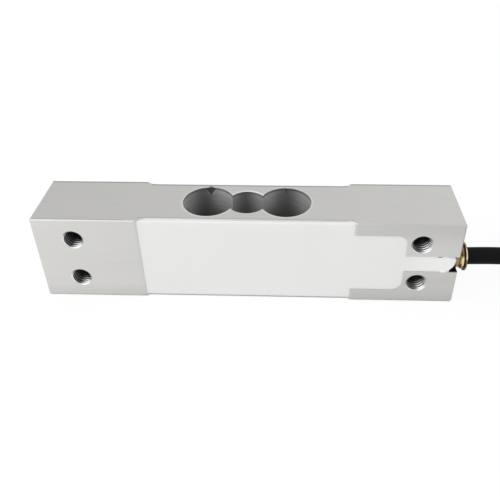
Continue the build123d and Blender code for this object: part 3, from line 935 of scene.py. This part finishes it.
# %% Head and tail of the tie
def add_box(mesh, centre, size, turn=None, rounding=0.0):
    """A box with rounded edges, turned about its own centre, in millimetres."""
    corners = bmesh.ops.create_cube(mesh, size=1.0)["verts"]
    bmesh.ops.scale(mesh, verts=corners, vec=Vector(size) * mm)
    if rounding:
        edges = list({edge for corner in corners for edge in corner.link_edges})
        rounded = bmesh.ops.bevel(
            mesh, geom=edges, offset=rounding * mm, segments=2, profile=0.5, affect="EDGES", material=-1
        )
        kept = {corner for corner in corners if corner.is_valid}
        corners = list({corner for face in rounded["faces"] for corner in face.verts} | kept)
    if turn:
        bmesh.ops.rotate(mesh, verts=corners, cent=(0, 0, 0), matrix=turn)
    bmesh.ops.translate(mesh, verts=corners, vec=Vector(centre) * mm)


head_place = Vector((tie_x, cable_y, head_z + 1.2))
add_box(tie_mesh, head_place, (4.4, 4.4, 2.8), rounding=0.4)
add_box(tie_mesh, head_place + Vector((0, 0, 1.45)), (2.9, 3.0, 0.3), rounding=0.08)
lean = Matrix.Rotation(radians(-16), 3, "X")
tail_place = head_place + Vector((0, -4.6, -0.05))
add_box(tie_mesh, tail_place, (2.4, 6.0, 0.9), lean, rounding=0.12)
tooth_count, tooth_pitch = 9, 0.6
for tooth in range(tooth_count):
    tooth_place = Vector((0, -2.6 + tooth * tooth_pitch, 0.5))
    add_box(tie_mesh, tail_place + lean @ tooth_place, (1.6, 0.28, 0.2), lean)
bmesh.ops.recalc_face_normals(tie_mesh, faces=tie_mesh.faces[:])
tie = new_piece("strap_tie", tie_mesh, nylon, smooth=False)
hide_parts("hank_tie")

# %% [markdown]

# %% [markdown]
# ## Floor
#
# The photograph is a cut-out on pure white. A white floor that is only lit would come out grey,
# and more light would bleach the part. So the floor shines white where the camera, a reflection
# or glass sees it, and is a plain matt surface to everything else, which keeps a faint shadow.
# Right under the beam it doesn't shine, or the bottom edge would glow. A reflection sees it
# brighter at the left, as the studio's light falls there. The studio is metres wide, so the
# floor and the lamp are written in metres.

# %% Floor
floor_radius = 2.5
floor_drop = 0.00002
floor_mesh = bmesh.new()
bmesh.ops.create_circle(floor_mesh, cap_ends=True, segments=64, radius=floor_radius)
bmesh.ops.translate(floor_mesh, verts=floor_mesh.verts[:], vec=(0, 0, -floor_drop))
floor_data = bpy.data.meshes.new("floor")
floor_mesh.to_mesh(floor_data)
floor_mesh.free()
floor = bpy.data.objects.new("floor", floor_data)
bpy.context.scene.collection.objects.link(floor)
print("floor of", round(floor_data.polygons[0].area, 2), "square metres")

# %% Floor finish
floor_finish = bpy.data.materials.new("floor_white")
floor_finish.use_nodes = True
tree = floor_finish.node_tree
tree.nodes.clear()
path = add_node(tree, "ShaderNodeLightPath").outputs
seen = largest(tree, path["Is Camera Ray"], path["Is Glossy Ray"], path["Is Transmission Ray"])
under_beam = in_box(tree, (0, 0, 0), (64.5, 10.4, 5))
for pad_x in (-48.5, 48.5):
    under_beam = largest(tree, under_beam, in_box(tree, (pad_x, 0, 0), (16.2, 11.05, 5)))
share = product(tree, seen, 0.86, rest_of(tree, under_beam))
sideways, _, _ = parts(tree, place_on_part(tree))
fade = add_node(
    tree, "ShaderNodeMapRange", Value=sideways, From_Min=-120.0, From_Max=120.0, To_Min=1.3, To_Max=0.7
).outputs[0]
strength = mix_value(tree, path["Is Glossy Ray"], 1.04, fade)
matt = add_node(tree, "ShaderNodeBsdfDiffuse", Color=(0.8, 0.8, 0.8, 1))
glow = add_node(tree, "ShaderNodeEmission", Color=(1, 1, 1, 1), Strength=strength)
mixed = add_node(tree, "ShaderNodeMixShader", i0=share, i1=matt.outputs[0], i2=glow.outputs[0])
tree.links.new(mixed.outputs[0], tree.nodes.new("ShaderNodeOutputMaterial").inputs[0])
floor_data.materials.append(floor_finish)
print("finish", floor_finish.name)

# %% [markdown]
# ## World and lamp
#
# The light is soft and even, as under a large tent, with one big lamp to the upper left that
# gives the left end pad its lighter tone and the edge over it its bright line. Several small
# lamps could do it, but each would leave its own spot on the brass. The world is white to the
# camera. As a light it is a dome that is weaker towards the front and above, which keeps the top
# of the beam grey, and a little stronger from the cable's side.

# %% World
world = bpy.data.worlds.new("studio")
bpy.context.scene.world = world
world.use_nodes = True
tree = world.node_tree
tree.nodes.clear()
path = add_node(tree, "ShaderNodeLightPath").outputs
seen = largest(tree, path["Is Camera Ray"], path["Is Transmission Ray"])
towards = add_node(tree, "ShaderNodeTexCoord").outputs["Generated"]
front_up = vector_maths(tree, "DOT_PRODUCT", towards, (0.12, -0.66, 0.74))
dome = mix_value(tree, smooth_step(tree, front_up, 0.55, 0.97), 0.84, 0.6)
cable_side = product(tree, vector_maths(tree, "DOT_PRODUCT", towards, along_x), 0.3)
strength = mix_value(tree, seen, maths(tree, "ADD", dome, cable_side), 1.0)
sky = add_node(tree, "ShaderNodeBackground", Color=(1, 1, 1, 1), Strength=strength)
tree.links.new(sky.outputs[0], tree.nodes.new("ShaderNodeOutputWorld").inputs[0])
print("world", world.name)

# %% Lamp
lamp_place = Vector((-0.9, -0.7, 0.75))
lamp_data = bpy.data.lights.new("key", "AREA")
lamp_data.shape = "SQUARE"
lamp_data.size = 1.8
lamp_data.energy = 13.0
lamp = bpy.data.objects.new("key", lamp_data)
bpy.context.scene.collection.objects.link(lamp)
lamp.location = lamp_place
beam_middle = Vector((0, 0, mid_width * mm))
lamp.rotation_euler = (beam_middle - lamp_place).to_track_quat("-Z", "Y").to_euler()
print("lamp", lamp.name, round((beam_middle - lamp_place).length, 2), "m from the beam")

# %% [markdown]
# ## Finish the scene
#
# The colours are meant to come out as they are written, so the view transform is Standard: the
# default one would dim the white.

# %% Finish
bpy.context.scene.view_settings.view_transform = "Standard"
